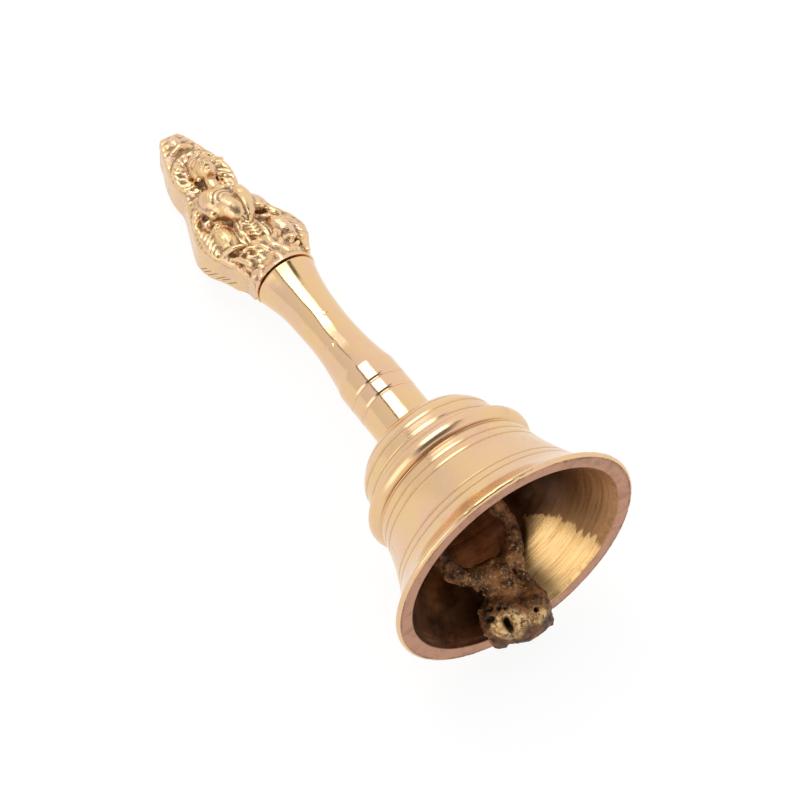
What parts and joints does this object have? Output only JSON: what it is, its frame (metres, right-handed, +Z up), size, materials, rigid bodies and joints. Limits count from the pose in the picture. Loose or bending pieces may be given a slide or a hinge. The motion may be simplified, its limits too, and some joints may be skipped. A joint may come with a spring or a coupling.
{
  "type": "hand bell",
  "caption": "Small brass prayer hand bell with flared mouth, baluster handle, figure finial and swinging cast clapper.",
  "frame": {"origin": "centre of the footprint of the bell lying on its side, on the surface it lies on", "axes": "+Z up, +Y along the bell towards the finial, mouth facing -Y and tipped up a little, front of the finial facing up"},
  "size_m": [0.064, 0.1586, 0.0631],
  "materials": {
    "brass_polished": "turned and buffed bright, with a thin warm tarnish",
    "brass_handle": "turned and buffed to a near mirror",
    "brass_cast": "cast relief, polished on its high points and dark in its recesses",
    "cast_bronze": "rough sand casting, brown and unpolished, worn bright where it strikes",
    "dark_steel": "dull, slightly browned steel"
  },
  "bodies": {
    "bell": {"bell_body": "brass_polished", "handle_grip": "brass_handle", "finial_figure": "brass_cast", "clapper_eyebolt": "dark_steel", "crown_washer": "dark_steel", "crown_nut": "dark_steel"},
    "clapper": {"clapper": "cast_bronze"}
  },
  "joints": [
    {"name": "clapper_swing", "type": "hinge", "parent": "bell", "child": "clapper", "pos_m": [0, -0.03926, 0.02703], "axis": [-1, 0, 0], "range_deg": [0, 67]}
  ]
}
